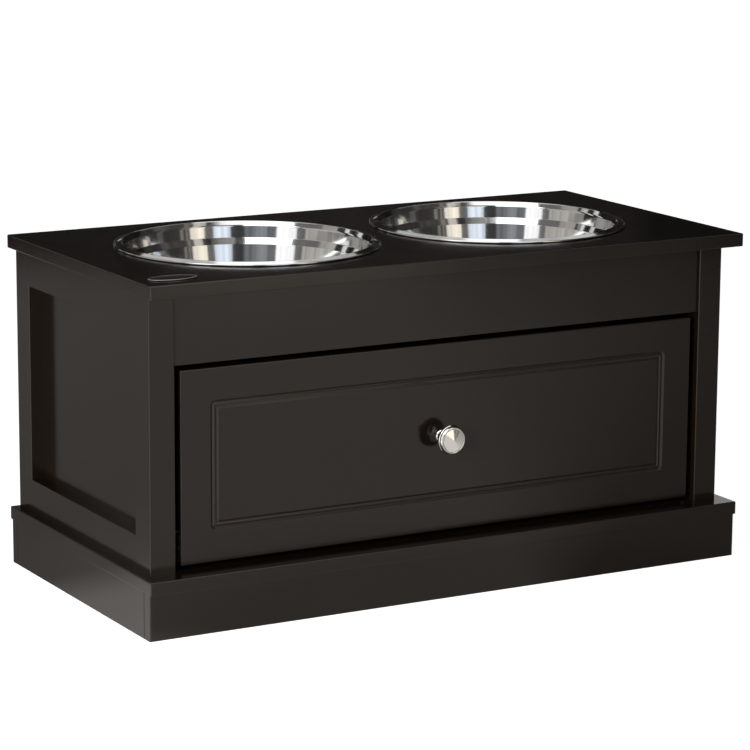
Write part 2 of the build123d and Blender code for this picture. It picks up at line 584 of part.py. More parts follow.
with BuildPart() as frame_dowels:
    for side in (LEFT, RIGHT):
        front_joint = [(side * LEG_MID_X, OPEN_FRONT_Y - DOWEL_HALF, z) for z in rail_dowel_levels]
        back_joint = [(side * LEG_MID_X, OPEN_BACK_Y + DOWEL_HALF, z) for z in rail_dowel_levels]
        rods(front_joint, TO_BACK, DOWEL_R, 2 * DOWEL_HALF)
        rods(back_joint, TO_FRONT, DOWEL_R, 2 * DOWEL_HALF)
        start_x = side * (LEG_IN_X + CROSS_DOWEL_IN)
        cross = [(start_x, APRON_MID_Y, z) for z in apron_dowel_levels]
        cross += [(start_x, BACK_RAIL_MID_Y, z) for z in back_dowel_levels]
        rods(cross, (-side, 0, 0), DOWEL_R, CROSS_DOWEL_IN + DOWEL_HALF)
keep(frame_dowels.part, "frame_dowels")

with BuildPart() as top_dowels:
    upper_ends = [(x, y, z + TOP_DOWEL_UP) for x, y, z in top_dowel_places]
    rods(upper_ends, DOWN, DOWEL_R, TOP_DOWEL_UP + DOWEL_HALF)
keep(top_dowels.part, "top_dowels")

# ---------------------------------------------------------------- bare oval plate on the top
with BuildPart() as oval_plate:
    with BuildSketch(Plane.XY.offset(SURFACE_Z)):
        with Locations((PLATE_X, PLATE_Y)):
            Ellipse(PLATE_L / 2, PLATE_W / 2)
    extrude(amount=PLATE_T)
    fillet(oval_plate.faces().sort_by(Axis.Z)[-1].edges(), PLATE_EASE)
    with BuildSketch(Plane.XY.offset(SURFACE_Z + PLATE_T)):
        with Locations((PLATE_X, PLATE_Y)):
            Ellipse(PLATE_L / 2 - PLATE_RIM, PLATE_W / 2 - PLATE_RIM)
    extrude(amount=-PLATE_SUNK, mode=Mode.SUBTRACT)
keep(oval_plate.part, "oval_plate")


# ---------------------------------------------------------------- drawer runners and their rollers
def cabinet_runner(side):
    """A channel open towards the drawer; its upper flange is cut away above the front roller."""
    web = (side * LEG_IN_X, side * (LEG_IN_X - SHEET))
    width = (side * LEG_IN_X, side * FLANGE_X)
    with BuildPart() as runner:
        block(web, (RUNNER_Y0, RUNNER_Y1), (RUNNER_Z0, RUNNER_Z1))
        block(width, (RUNNER_Y0, RUNNER_Y1), (RUNNER_Z0, RUNNER_Z0 + SHEET))
        block(width, (TOP_FLANGE_Y0, RUNNER_Y1), (RUNNER_Z1 - SHEET, RUNNER_Z1))
        face_x = side * (LEG_IN_X - SHEET)
        screws = [(face_x, y, RUNNER_SCREW_Z) for y in runner_screw_depths]
        drill(screws, (side, 0, 0), RUNNER_SCREW_R + FIT, SHEET)
        drill([(face_x, FRONT_ROLLER_Y, FRONT_ROLLER_Z)], (side, 0, 0), PIN_R + FIT, SHEET)
    return runner.part


def drawer_runner(side):
    """A web on the drawer's side, a lip under its edge, and a track that rides on the front roller."""
    length = (RUNNER_Y0, DRAWER_RUNNER_Y1)
    with BuildPart() as runner:
        block((side * SIDE_OUT_X, side * WEB_X), length, (BOX_Z0 - SHEET, TRACK_Z + SHEET))
        block((side * SIDE_IN_X, side * WEB_X), length, (BOX_Z0 - SHEET, BOX_Z0))
        block((side * SIDE_OUT_X, side * TRACK_X), length, (TRACK_Z, TRACK_Z + SHEET))
        screws = [(side * WEB_X, y, DRAWER_SCREW_Z) for y in drawer_screw_depths]
        drill(screws, (-side, 0, 0), DRAWER_SCREW_R + FIT, SHEET)
        drill([(side * WEB_X, REAR_ROLLER_Y, REAR_ROLLER_Z)], (-side, 0, 0), PIN_R + FIT, SHEET)
    return runner.part


def roller(side, x0, x1, y, z):
    """A nylon roller with a shallow recess round its hub."""
    outward = (side, 0, 0)
    with BuildPart() as wheel:
        with Locations(Plane(origin=(side * x0, y, z), z_dir=outward)):
            Cylinder(ROLLER_R, x1 - x0, align=FROM_FACE)
        fillet(wheel.edges().filter_by(GeomType.CIRCLE), ROLLER_EASE)
        for face_x, inward in ((x0, outward), (x1, (-side, 0, 0))):
            with Locations(Plane(origin=(side * face_x, y, z), z_dir=inward)):
                Cylinder(ROLLER_R - ROLLER_TREAD, ROLLER_DISH, align=FROM_FACE, mode=Mode.SUBTRACT)
                Cylinder(ROLLER_HUB_R, ROLLER_DISH, align=FROM_FACE)
        drill([(side * x0, y, z)], outward, PIN_R + PIN_RUNNING_FIT, x1 - x0)
    return wheel.part


def roller_pin(towards, head_x, collar_x, end_x, y, z):
    """A rivet with a head beyond the roller and a collar between the roller and its runner's web."""
    collar_end_x = end_x - towards * SHEET
    rods([(head_x, y, z)], (towards, 0, 0), PIN_HEAD_R, PIN_HEAD_T)
    rods([(head_x, y, z)], (towards, 0, 0), PIN_R, abs(end_x - head_x))
    rods([(collar_x, y, z)], (towards, 0, 0), PIN_HEAD_R, abs(collar_end_x - collar_x))


for word, side in SIDES.items():
    keep(cabinet_runner(side), f"runner_cabinet_{word}")
    keep(drawer_runner(side), f"runner_drawer_{word}")
    front_wheel = roller(side, FRONT_ROLLER_X0, FRONT_ROLLER_X1, FRONT_ROLLER_Y, FRONT_ROLLER_Z)
    keep(front_wheel, f"front_roller_{word}")
    rear_wheel = roller(side, REAR_ROLLER_X0, REAR_ROLLER_X1, REAR_ROLLER_Y, REAR_ROLLER_Z)
    keep(rear_wheel, f"rear_roller_{word}")

with BuildPart() as front_roller_pins:
    for side in (LEFT, RIGHT):
        head_x = side * (FRONT_ROLLER_X0 - PIN_SLACK - PIN_HEAD_T)
        collar_x = side * (FRONT_ROLLER_X1 + PIN_SLACK)
        roller_pin(side, head_x, collar_x, side * LEG_IN_X, FRONT_ROLLER_Y, FRONT_ROLLER_Z)
keep(front_roller_pins.part, "front_roller_pins")

with BuildPart() as rear_roller_pins:
    for side in (LEFT, RIGHT):
        head_x = side * (REAR_ROLLER_X1 + PIN_SLACK + PIN_HEAD_T)
        collar_x = side * (REAR_ROLLER_X0 - PIN_SLACK)
        roller_pin(-side, head_x, collar_x, side * SIDE_OUT_X, REAR_ROLLER_Y, REAR_ROLLER_Z)
keep(rear_roller_pins.part, "rear_roller_pins")

with BuildPart() as cabinet_runner_screws:
    for side in (LEFT, RIGHT):
        places = [(side * (LEG_IN_X - SHEET), y, RUNNER_SCREW_Z) for y in runner_screw_depths]
        thread = SHEET + RUNNER_SCREW_L
        headed_screws(places, (side, 0, 0), RUNNER_SCREW_R, thread, RUNNER_SCREW_HEAD_R, RUNNER_SCREW_HEAD_T)
keep(cabinet_runner_screws.part, "cabinet_runner_screws")

with BuildPart() as drawer_runner_screws:
    for side in (LEFT, RIGHT):
        places = [(side * WEB_X, y, DRAWER_SCREW_Z) for y in drawer_screw_depths]
        thread = SHEET + DRAWER_SCREW_L
        headed_screws(places, (-side, 0, 0), DRAWER_SCREW_R, thread, DRAWER_SCREW_HEAD_R, DRAWER_SCREW_HEAD_T)
keep(drawer_runner_screws.part, "drawer_runner_screws")

# ---------------------------------------------------------------- drawer box
for word, side in SIDES.items():
    outward = (side, 0, 0)
    inward = (-side, 0, 0)
    with BuildPart() as drawer_side:
        block((side * SIDE_IN_X, side * SIDE_OUT_X), (INNER_Y, BOX_Y1), (BOX_Z0, BOX_Z1))
        fillet(drawer_side.faces().sort_by(Axis.Z)[-1].edges().filter_by(Axis.Y), EASE)
        groove_x = (side * SIDE_IN_X, side * (SIDE_IN_X + GROOVE_DEPTH))
        block(groove_x, (INNER_Y, BOX_Y1), (BOTTOM_Z0, BOTTOM_Z1), mode=Mode.SUBTRACT)
        own_cams = [place for place in cam_places if place[0] * side > 0]
        drill(own_cams, outward, CAM_R + FIT, CAM_DEPTH + FIT)
        bolts = [(side * SIDE_MID_X, INNER_Y, z) for z in cam_levels]
        drill(bolts, TO_BACK, CAM_BOLT_R + FIT, CAM_BACK - CAM_R)
        drill([(side * SIDE_MID_X, INNER_Y, front_dowel_z)], TO_BACK, DOWEL_R + FIT, DOWEL_HALF)
        heads = [(side * SIDE_OUT_X, BOX_BACK_MID_Y, z) for z in side_screw_levels]
        drill_countersunk(heads, inward, SIDE_SCREW_R + FIT, SIDE_SCREW_HEAD_R + FIT, BOARD)
        drill([(side * SIDE_IN_X, BOX_BACK_MID_Y, back_dowel_z)], outward, DOWEL_R + FIT, BOX_DOWEL_IN)
        screws = [(side * SIDE_OUT_X, y, DRAWER_SCREW_Z) for y in drawer_screw_depths]
        drill(screws, inward, DRAWER_SCREW_R + FIT, DRAWER_SCREW_L)
    keep(drawer_side.part, f"drawer_side_{word}")

with BuildPart() as drawer_back:
    block((-SIDE_IN_X, SIDE_IN_X), (BOX_Y1 - BOARD, BOX_Y1), (BOTTOM_Z1, BOX_Z1))
    fillet(drawer_back.faces().sort_by(Axis.Z)[-1].edges().filter_by(Axis.X), EASE)
    for side in (LEFT, RIGHT):
        inward = (-side, 0, 0)
        ends = [(side * SIDE_IN_X, BOX_BACK_MID_Y, z) for z in side_screw_levels]
        drill(ends, inward, SIDE_SCREW_R + FIT, SIDE_SCREW_L - BOARD)
        drill([(side * SIDE_IN_X, BOX_BACK_MID_Y, back_dowel_z)], inward, DOWEL_R + FIT, DOWEL_HALF)
    pilot_places = [(x, y, BOTTOM_Z1) for x, y, _ in bottom_screw_places]
    drill(pilot_places, UP, BACK_SCREW_R + FIT, BOTTOM_SCREW_L - BOTTOM_T)
keep(drawer_back.part, "drawer_back")

with BuildPart() as drawer_bottom:
    half_width = SIDE_IN_X + PANEL_REACH
    block((-half_width, half_width), (INNER_Y - PANEL_REACH, BOX_Y1), (BOTTOM_Z0, BOTTOM_Z1))
    drill_countersunk(bottom_screw_places, UP, BACK_SCREW_R + FIT, BACK_SCREW_HEAD_R + FIT, BOTTOM_T)
keep(drawer_bottom.part, "drawer_bottom")

with BuildPart() as drawer_bottom_screws:
    flat_screws(bottom_screw_places, UP, BACK_SCREW_R, BACK_SCREW_HEAD_R, BOTTOM_SCREW_L)
keep(drawer_bottom_screws.part, "drawer_bottom_screws")

with BuildPart() as drawer_back_screws:
    for side in (LEFT, RIGHT):
        heads = [(side * SIDE_OUT_X, BOX_BACK_MID_Y, z) for z in side_screw_levels]
        flat_screws(heads, (-side, 0, 0), SIDE_SCREW_R, SIDE_SCREW_HEAD_R, SIDE_SCREW_L)
keep(drawer_back_screws.part, "drawer_back_screws")

with BuildPart() as drawer_dowels:
    for side in (LEFT, RIGHT):
        front_start = (side * SIDE_MID_X, INNER_Y - BOX_DOWEL_IN, front_dowel_z)
        rods([front_start], TO_BACK, DOWEL_R, BOX_DOWEL_IN + DOWEL_HALF)
        back_start = (side * (SIDE_IN_X + BOX_DOWEL_IN), BOX_BACK_MID_Y, back_dowel_z)
        rods([back_start], (-side, 0, 0), DOWEL_R, BOX_DOWEL_IN + DOWEL_HALF)
keep(drawer_dowels.part, "drawer_dowels")

with BuildPart() as drawer_cam_bolts:
    starts = [(side * SIDE_MID_X, INNER_Y - CAM_BOLT_IN, z) for side in (LEFT, RIGHT) for z in cam_levels]
    rods(starts, TO_BACK, CAM_BOLT_R, CAM_BOLT_IN + CAM_BACK - CAM_R - 2 * FIT)
keep(drawer_cam_bolts.part, "drawer_cam_bolts")

with BuildPart() as drawer_cam_locks:
    for place in cam_places:
        outward = (RIGHT if place[0] > 0 else LEFT, 0, 0)
        with Locations(Plane(origin=place, z_dir=outward)):
            Cylinder(CAM_R, CAM_DEPTH, align=FROM_FACE)
            for angle in CAM_SLOT_ANGLES:
                slot = (CAM_SLOT_W, CAM_SLOT_L, CAM_SLOT_DEPTH)
                Box(*slot, rotation=(0, 0, angle), align=FROM_FACE, mode=Mode.SUBTRACT)
keep(drawer_cam_locks.part, "drawer_cam_locks")


# ---------------------------------------------------------------- drawer front and knob
def routed_groove(border, width, depth):
    """Cuts a groove with sloping walls along a rounded rectangle, border inside the drawer front's edge."""
    middle = border + width / 2
    corner = max(MOULD_CORNER - (middle - MOULD_BORDER), MOULD_TURN * width)
    with BuildSketch(Plane.XZ.offset(-FACE_Y), mode=Mode.PRIVATE) as track:
        with Locations((0, FRONT_MID_Z)):
            RectangleRounded(FRONT_W - 2 * middle, FRONT_H - 2 * middle, corner)
    path = track.sketch.face().outer_wire()
    half_floor = MOULD_FLOOR * width / 2
    with BuildSketch(Plane(origin=path @ 0, x_dir=TO_BACK, z_dir=path % 0)) as cutter:
        Polygon(
            (-MOULD_CUTTER, width / 2),
            (0, width / 2),
            (depth, half_floor),
            (depth, -half_floor),
            (0, -width / 2),
            (-MOULD_CUTTER, -width / 2),
            align=None,
        )
    sweep(sections=cutter.sketch, path=path, mode=Mode.SUBTRACT)


with BuildPart() as drawer_front:
    block((-FRONT_W / 2, FRONT_W / 2), (FACE_Y, INNER_Y), (FRONT_Z0, FRONT_Z1))
    fillet(drawer_front.faces().sort_by(Axis.Y)[0].edges(), EASE)
    routed_groove(MOULD_BORDER, MOULD_OUTER_W, MOULD_OUTER_DEPTH)
    routed_groove(MOULD_BORDER + MOULD_OUTER_W + MOULD_BEAD_W, MOULD_INNER_W, MOULD_INNER_DEPTH)
    half_width = SIDE_IN_X + GROOVE_DEPTH
    groove_y = (INNER_Y - GROOVE_DEPTH, INNER_Y)
    block((-half_width, half_width), groove_y, (BOTTOM_Z0, BOTTOM_Z1), mode=Mode.SUBTRACT)
    bolt_places = [(side * SIDE_MID_X, INNER_Y, z) for side in (LEFT, RIGHT) for z in cam_levels]
    drill(bolt_places, TO_FRONT, CAM_BOLT_R + FIT, CAM_BOLT_IN)
    dowel_places = [(side * SIDE_MID_X, INNER_Y, front_dowel_z) for side in (LEFT, RIGHT)]
    drill(dowel_places, TO_FRONT, DOWEL_R + FIT, BOX_DOWEL_IN)
    drill([(KNOB_X, INNER_Y, KNOB_Z)], TO_FRONT, KNOB_SCREW_R + FIT, BOARD)
keep(drawer_front.part, "drawer_front")


def knob_point(forward, radius):
    """A point of the knob's profile: distance in front of the drawer, distance from the knob's axis."""
    return (FACE_Y - forward, KNOB_Z + radius)


with BuildPart() as knob:
    ring_out, ring_in, ring_lip = KNOB_RING_R
    ring_floor = KNOB_FACE_AT - KNOB_RING_DEPTH
    with BuildSketch(Plane.YZ.offset(KNOB_X)):
        with BuildLine():
            Polyline(knob_point(0, 0), knob_point(0, KNOB_FOOT_R), knob_point(KNOB_FOOT_T, KNOB_FOOT_R))
            ThreePointArc(
                knob_point(KNOB_FOOT_T, KNOB_FOOT_R),
                knob_point(KNOB_NECK_AT, KNOB_NECK_R),
                knob_point(KNOB_FLARE_AT, KNOB_FLARE_R),
            )
            Line(knob_point(KNOB_FLARE_AT, KNOB_FLARE_R), knob_point(KNOB_RIM_AT, KNOB_RIM_R))
            ThreePointArc(
                knob_point(KNOB_RIM_AT, KNOB_RIM_R),
                knob_point(KNOB_SHOULDER_AT, KNOB_SHOULDER_R),
                knob_point(KNOB_FACE_AT, KNOB_FACE_R),
            )
            Polyline(
                knob_point(KNOB_FACE_AT, KNOB_FACE_R),
                knob_point(ring_floor, ring_out),
                knob_point(ring_floor, ring_in),
                knob_point(KNOB_FACE_AT, ring_lip),
                knob_point(KNOB_FACE_AT + KNOB_DOME, 0),
                knob_point(0, 0),
            )
        make_face()
    revolve(axis=Axis((KNOB_X, FACE_Y, KNOB_Z), TO_FRONT))
    drill([(KNOB_X, FACE_Y, KNOB_Z)], TO_FRONT, KNOB_SCREW_R + FIT, KNOB_SCREW_IN + SCREW_END_GAP)
keep(knob.part, "knob")

with BuildPart() as knob_screw:
    head_y = INNER_Y + KNOB_SCREW_HEAD_T
    rods([(KNOB_X, head_y, KNOB_Z)], TO_FRONT, KNOB_SCREW_HEAD_R, KNOB_SCREW_HEAD_T)
    fillet(knob_screw.faces().sort_by(Axis.Y)[-1].edges(), KNOB_SCREW_EASE)
    arm_length, arm_width, arm_depth = KNOB_SCREW_CROSS
    with Locations(Plane(origin=(KNOB_X, head_y, KNOB_Z), z_dir=TO_FRONT)):
        Box(arm_length, arm_width, arm_depth, align=FROM_FACE, mode=Mode.SUBTRACT)
        Box(arm_width, arm_length, arm_depth, align=FROM_FACE, mode=Mode.SUBTRACT)
    rods([(KNOB_X, INNER_Y, KNOB_Z)], TO_FRONT, KNOB_SCREW_R, BOARD + KNOB_SCREW_IN)
keep(knob_screw.part, "knob_screw")

# ---------------------------------------------------------------- bowls
for word, side in SIDES.items():
    axis_x = side * BOWL_X
    step_r = BOWL_SHOULDER_R - BOWL_TAPER
    with BuildPart() as bowl:
        with BuildSketch(Plane(origin=(axis_x, BOWL_Y, SURFACE_Z), x_dir=(1, 0, 0), z_dir=TO_FRONT)):
            with BuildLine() as skin:
                FilletPolyline(
                    (BOWL_RIM_R, BOWL_REST),
                    (BOWL_RIM_R, BOWL_RIM_H - BOWL_RIM_FALL),
                    (BOWL_MOUTH_R, BOWL_RIM_H),
                    (BOWL_SHOULDER_R, -BOWL_SHOULDER_DOWN),
                    (step_r, -BOWL_STEP_DOWN),
                    (step_r - BOWL_STEP_IN, -BOWL_STEP_DOWN - BOWL_STEP_H),
                    (BOWL_FOOT_R, -BOWL_DEPTH),
                    (0, -BOWL_DEPTH),
                    radius=BOWL_BENDS,
                )
                offset(skin.line, amount=BOWL_SHEET, side=Side.RIGHT, closed=True)
            make_face()
        revolve(axis=Axis((axis_x, BOWL_Y, 0), UP))
    keep(bowl.part, f"bowl_{word}")
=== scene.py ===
import json
import math

import bmesh
import bpy
from mathutils import Matrix, Vector


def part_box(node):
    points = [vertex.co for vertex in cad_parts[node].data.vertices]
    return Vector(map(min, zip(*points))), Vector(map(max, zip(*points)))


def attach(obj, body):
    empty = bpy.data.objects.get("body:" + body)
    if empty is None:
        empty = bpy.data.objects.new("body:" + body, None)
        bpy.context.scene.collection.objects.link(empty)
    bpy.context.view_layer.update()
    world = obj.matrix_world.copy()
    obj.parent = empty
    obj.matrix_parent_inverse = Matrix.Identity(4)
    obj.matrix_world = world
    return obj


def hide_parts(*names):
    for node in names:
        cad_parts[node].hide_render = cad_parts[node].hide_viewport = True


# Elevated dog feeder in a small photo studio. Metres; the front is towards -Y and +X is to the right.

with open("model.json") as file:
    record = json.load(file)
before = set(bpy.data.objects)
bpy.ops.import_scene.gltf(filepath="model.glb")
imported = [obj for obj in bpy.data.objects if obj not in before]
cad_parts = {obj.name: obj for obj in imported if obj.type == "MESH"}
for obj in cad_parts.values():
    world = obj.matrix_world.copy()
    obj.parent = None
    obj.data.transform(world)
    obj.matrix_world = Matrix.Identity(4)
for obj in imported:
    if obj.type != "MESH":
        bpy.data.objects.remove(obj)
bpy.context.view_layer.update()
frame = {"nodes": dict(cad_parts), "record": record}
NODES = frame["nodes"]
MM = 0.001

top_low, top_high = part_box("top_panel")
SURFACE_Z = top_high.z
PLATE_LOW, PLATE_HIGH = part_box("oval_plate")


# ---------------------------------------------------------------- camera
LENS = 151.05               # millimetres on a 36 mm wide sensor
CAMERA_AZIMUTH = math.radians(-29.473)      # from the front, counted to the right
CAMERA_ELEVATION = math.radians(11.813)
CAMERA_ROLL = math.radians(0.367)
CAMERA_DISTANCE = 2.8904
CAMERA_TARGET = Vector((0.0, -0.00027, 0.170))
CAMERA_PAN = (0.00142, -0.00429)            # to the camera's right and up


def make_camera():
    azimuth, elevation = CAMERA_AZIMUTH, CAMERA_ELEVATION
    back = Vector((
        math.sin(azimuth) * math.cos(elevation),
        -math.cos(azimuth) * math.cos(elevation),
        math.sin(elevation),
    ))
    level_right = (-back).cross(Vector((0, 0, 1))).normalized()
    level_up = level_right.cross(-back)
    right = math.cos(CAMERA_ROLL) * level_right + math.sin(CAMERA_ROLL) * level_up
    up = math.cos(CAMERA_ROLL) * level_up - math.sin(CAMERA_ROLL) * level_right
    place = CAMERA_TARGET + back * CAMERA_DISTANCE - right * CAMERA_PAN[0] - up * CAMERA_PAN[1]
    data = bpy.data.cameras.new("camera")
    data.lens = LENS
    data.sensor_width = 36.0
    data.clip_end = 60.0
    camera = bpy.data.objects.new("camera", data)
    camera.matrix_world = Matrix((
        (right.x, up.x, back.x, place.x),
        (right.y, up.y, back.y, place.y),
        (right.z, up.z, back.z, place.z),
        (0.0, 0.0, 0.0, 1.0),
    ))
    bpy.context.scene.collection.objects.link(camera)
    bpy.context.scene.camera = camera


# ---------------------------------------------------------------- node helpers
class Nodes:
    """A short way to write a material's node tree."""

    def __init__(self, tree):
        self.tree = tree
        tree.nodes.clear()

    def add(self, kind, inputs=None, **settings):
        node = self.tree.nodes.new(kind)
        for name, value in settings.items():
            setattr(node, name, value)
        for name, value in (inputs or {}).items():
            self.put(node.inputs[name], value)
        return node

    def put(self, socket, value):
        if isinstance(value, bpy.types.NodeSocket):
            self.tree.links.new(value, socket)
        else:
            socket.default_value = value

    def math(self, operation, *values, clamp=False):
        node = self.add("ShaderNodeMath", operation=operation, use_clamp=clamp)
        for socket, value in zip(node.inputs, values):
            self.put(socket, value)
        return node.outputs[0]

    def noise(self, vector, scale, detail=2.0, roughness=0.5):
        node = self.add("ShaderNodeTexNoise", {"Vector": vector, "Scale": scale, "Detail": detail})
        node.inputs["Roughness"].default_value = roughness
        return node.outputs["Fac"]

    def remap(self, value, low, high, to_low, to_high):
        """value from low..high to to_low..to_high, held at both ends."""
        node = self.add("ShaderNodeMapRange", {"Value": value, "From Min": low, "From Max": high})
        node.inputs["To Min"].default_value = to_low
        node.inputs["To Max"].default_value = to_high
        return node.outputs["Result"]

    def mix(self, factor, first, second):
        node = self.add("ShaderNodeMix", data_type="RGBA")
        self.put(node.inputs["Factor"], factor)
        self.put(node.inputs[6], first)
        self.put(node.inputs[7], second)
        return node.outputs[2]

    def coordinates(self):
        return self.add("ShaderNodeTexCoord").outputs

    def stretched(self, vector, scale):
        return self.add("ShaderNodeMapping", {"Vector": vector, "Scale": scale}).outputs["Vector"]

    def split(self, vector):
        return self.add("ShaderNodeSeparateXYZ", {"Vector": vector}).outputs

    def bump(self, height, distance, strength=1.0, normal=None):
        node = self.add("ShaderNodeBump", {"Height": height, "Distance": distance, "Strength": strength})
        if normal is not None:
            self.put(node.inputs["Normal"], normal)
        return node.outputs["Normal"]

    def surface(self, shader):
        output = self.add("ShaderNodeOutputMaterial")
        self.put(output.inputs["Surface"], shader)

    def principled(self, **inputs):
        names = {key.replace("_", " "): value for key, value in inputs.items()}
        node = self.add("ShaderNodeBsdfPrincipled", names)
        self.surface(node.outputs["BSDF"])
        return node


def rgba(red, green, blue):
    return (red, green, blue, 1.0)


def new_material(name):
    material = bpy.data.materials.new(name)
    material.use_nodes = True
    return material, Nodes(material.node_tree)


# ---------------------------------------------------------------- materials
PAINT = (0.0113, 0.0067, 0.0041)            # espresso brown
PAINT_ARRIS_HIGHLIGHT = (0.0280, 0.0205, 0.0155)       # a lighter brown that the rounded arrises are mixed towards: a painted highlight


def espresso_lacquer():
    """Satin paint on fibreboard: a trace of roller stipple, slow changes of sheen, and a painted highlight that
    lightens the rounded arrises.
    """
    material, n = new_material("espresso_lacquer")
    at = n.coordinates()
    place = at["Object"]
    facing = n.split(n.add("ShaderNodeVectorMath", {0: at["Normal"]}, operation="ABSOLUTE").outputs[0])
    flatness = n.math("MAXIMUM", n.math("MAXIMUM", facing["X"], facing["Y"]), facing["Z"])
    arris = n.remap(flatness, 0.995, 0.90, 0.0, 1.0)
    clouds = n.noise(place, 9.0, detail=3.0)
    colour = n.mix(n.remap(clouds, 0.3, 0.7, 0.0, 1.0), rgba(*[0.93 * c for c in PAINT]), rgba(*[1.07 * c for c in PAINT]))
    # painted highlight: rounded arrises are mixed towards a lighter brown, in place of the light lines they catch
    colour = n.mix(n.math("MULTIPLY", arris, 0.8), colour, rgba(*PAINT_ARRIS_HIGHLIGHT))
    sheen = n.remap(n.noise(place, 23.0, detail=4.0), 0.3, 0.7, 0.13, 0.18)
    stipple = n.bump(n.noise(place, 1400.0, detail=1.0), 0.00002)
    peel = n.bump(n.noise(place, 260.0, detail=2.0), 0.00002, normal=stipple)
    n.principled(Base_Color=colour, Roughness=sheen, Normal=peel, Specular_IOR_Level=0.5)
    return material


def drawer_laminate():
    """Dark foil with a fine embossed pore."""
    material, n = new_material("drawer_laminate")
    place = n.coordinates()["Object"]
    grain = n.noise(n.stretched(place, (60.0, 60.0, 900.0)), 1.0, detail=4.0)
    colour = n.mix(grain, rgba(0.020, 0.014, 0.012), rgba(0.030, 0.022, 0.018))
    n.principled(
        Base_Color=colour,
        Roughness=n.remap(grain, 0.3, 0.7, 0.5, 0.62),
        Normal=n.bump(grain, 0.00005),
    )
    return material


def dark_hardboard():
    """Thin hardboard with a painted face: short pressed fibres show through."""
    material, n = new_material("dark_hardboard")
    place = n.coordinates()["Object"]
    fibres = n.noise(n.stretched(place, (900.0, 900.0, 300.0)), 1.0, detail=5.0, roughness=0.7)
    clouds = n.noise(place, 14.0, detail=3.0)
    dark = n.mix(fibres, rgba(0.026, 0.018, 0.014), rgba(0.050, 0.036, 0.028))
    colour = n.mix(n.remap(clouds, 0.3, 0.7, 0.0, 0.35), dark, rgba(0.030, 0.021, 0.017))
    n.principled(
        Base_Color=colour,
        Roughness=n.remap(fibres, 0.3, 0.7, 0.55, 0.75),
        Normal=n.bump(fibres, 0.00006),
    )
    return material


def sawn_wood(name, light, dark, ring_scale, stretch):
    """Bare wood with growth rings along its length and short pores."""
    material, n = new_material(name)
    place = n.coordinates()["Object"]
    along = n.stretched(place, stretch)
    rings = n.add(
        "ShaderNodeTexWave",
        {"Vector": along, "Scale": ring_scale, "Distortion": 3.5, "Detail": 2.0, "Detail Scale": 1.2},
    ).outputs["Fac"]
    pores = n.noise(n.stretched(place, (700.0, 700.0, 90.0)), 1.0, detail=4.0)
    colour = n.mix(rings, rgba(*light), rgba(*dark))
    colour = n.mix(n.remap(pores, 0.55, 0.75, 0.0, 0.5), colour, rgba(*[0.6 * c for c in dark]))
    n.principled(
        Base_Color=colour,
        Roughness=n.remap(pores, 0.3, 0.7, 0.6, 0.75),
        Normal=n.bump(pores, 0.00008),
    )
    return material


def turned_metal(name, colours, roughness, anisotropy, axis, line_scale, line_depth, waviness):
    """Metal with fine lines round an axis, as spinning or turning leaves them."""
    material, n = new_material(name)
    place = n.coordinates()["Generated"]
    world = n.coordinates()["Object"]
    tangent = n.add("ShaderNodeTangent", direction_type="RADIAL", axis=axis).outputs["Tangent"]
    parts = n.split(n.add("ShaderNodeVectorMath", {0: place, 1: (0.5, 0.5, 0.5)}, operation="SUBTRACT").outputs[0])
    across = [parts[key] for key in "XYZ" if key != axis]
    radius = n.math("SQRT", n.math("ADD", n.math("POWER", across[0], 2.0), n.math("POWER", across[1], 2.0)))
    line_place = n.add("ShaderNodeCombineXYZ", {"X": radius, "Y": parts[axis]}).outputs["Vector"]
    lines = n.noise(line_place, line_scale, detail=3.0, roughness=0.6)
    waves = n.noise(world, 24.0, detail=1.0)
    colour = n.mix(lines, rgba(*colours[0]), rgba(*colours[1]))
    bent = n.bump(waves, waviness)
    n.principled(
        Base_Color=colour,
        Metallic=1.0,
        Roughness=n.remap(lines, 0.3, 0.7, *roughness),
        Anisotropic=anisotropy,
        Tangent=tangent,
        Normal=n.bump(lines, line_depth, normal=bent),
    )
    return material


def plain_metal(name, light, dark, roughness, scale):
    """Plated or cast metal: a crystalline mottle in colour and sheen."""
    material, n = new_material(name)
    place = n.coordinates()["Object"]
    mottle = n.noise(place, scale, detail=4.0, roughness=0.6)
    n.principled(
        Base_Color=n.mix(mottle, rgba(*light), rgba(*dark)),
        Metallic=1.0,
        Roughness=n.remap(mottle, 0.3, 0.7, *roughness),
        Normal=n.bump(mottle, 0.00002),
    )
    return material


def plate_bronze():
    """Dark satin plate whose raised rim is rubbed bright."""
    material, n = new_material("plate_bronze")
    place = n.coordinates()["Object"]
    height = n.split(place)["Z"]
    rim = n.remap(height, PLATE_HIGH.z - 0.25 * MM, PLATE_HIGH.z - 0.12 * MM, 0.0, 1.0)
    mottle = n.noise(place, 900.0, detail=3.0)
    dark = n.mix(mottle, rgba(0.022, 0.019, 0.017), rgba(0.034, 0.030, 0.027))
    n.principled(
        Base_Color=n.mix(rim, dark, rgba(0.55, 0.53, 0.50)),
        Metallic=0.85,
        Roughness=n.remap(mottle, 0.3, 0.7, 0.26, 0.36),
        Normal=n.bump(mottle, 0.00001),
    )
    return material


def coated(name, light, dark, roughness, peel_scale, peel_depth):
    """Powder coat or moulded plastic: orange peel and a faint change of tone."""
    material, n = new_material(name)
    place = n.coordinates()["Object"]
    peel = n.noise(place, peel_scale, detail=2.0)
    tone = n.noise(place, 40.0, detail=2.0)
    n.principled(
        Base_Color=n.mix(tone, rgba(*light), rgba(*dark)),
        Roughness=n.remap(peel, 0.3, 0.7, *roughness),
        Normal=n.bump(peel, peel_depth),
    )
    return material


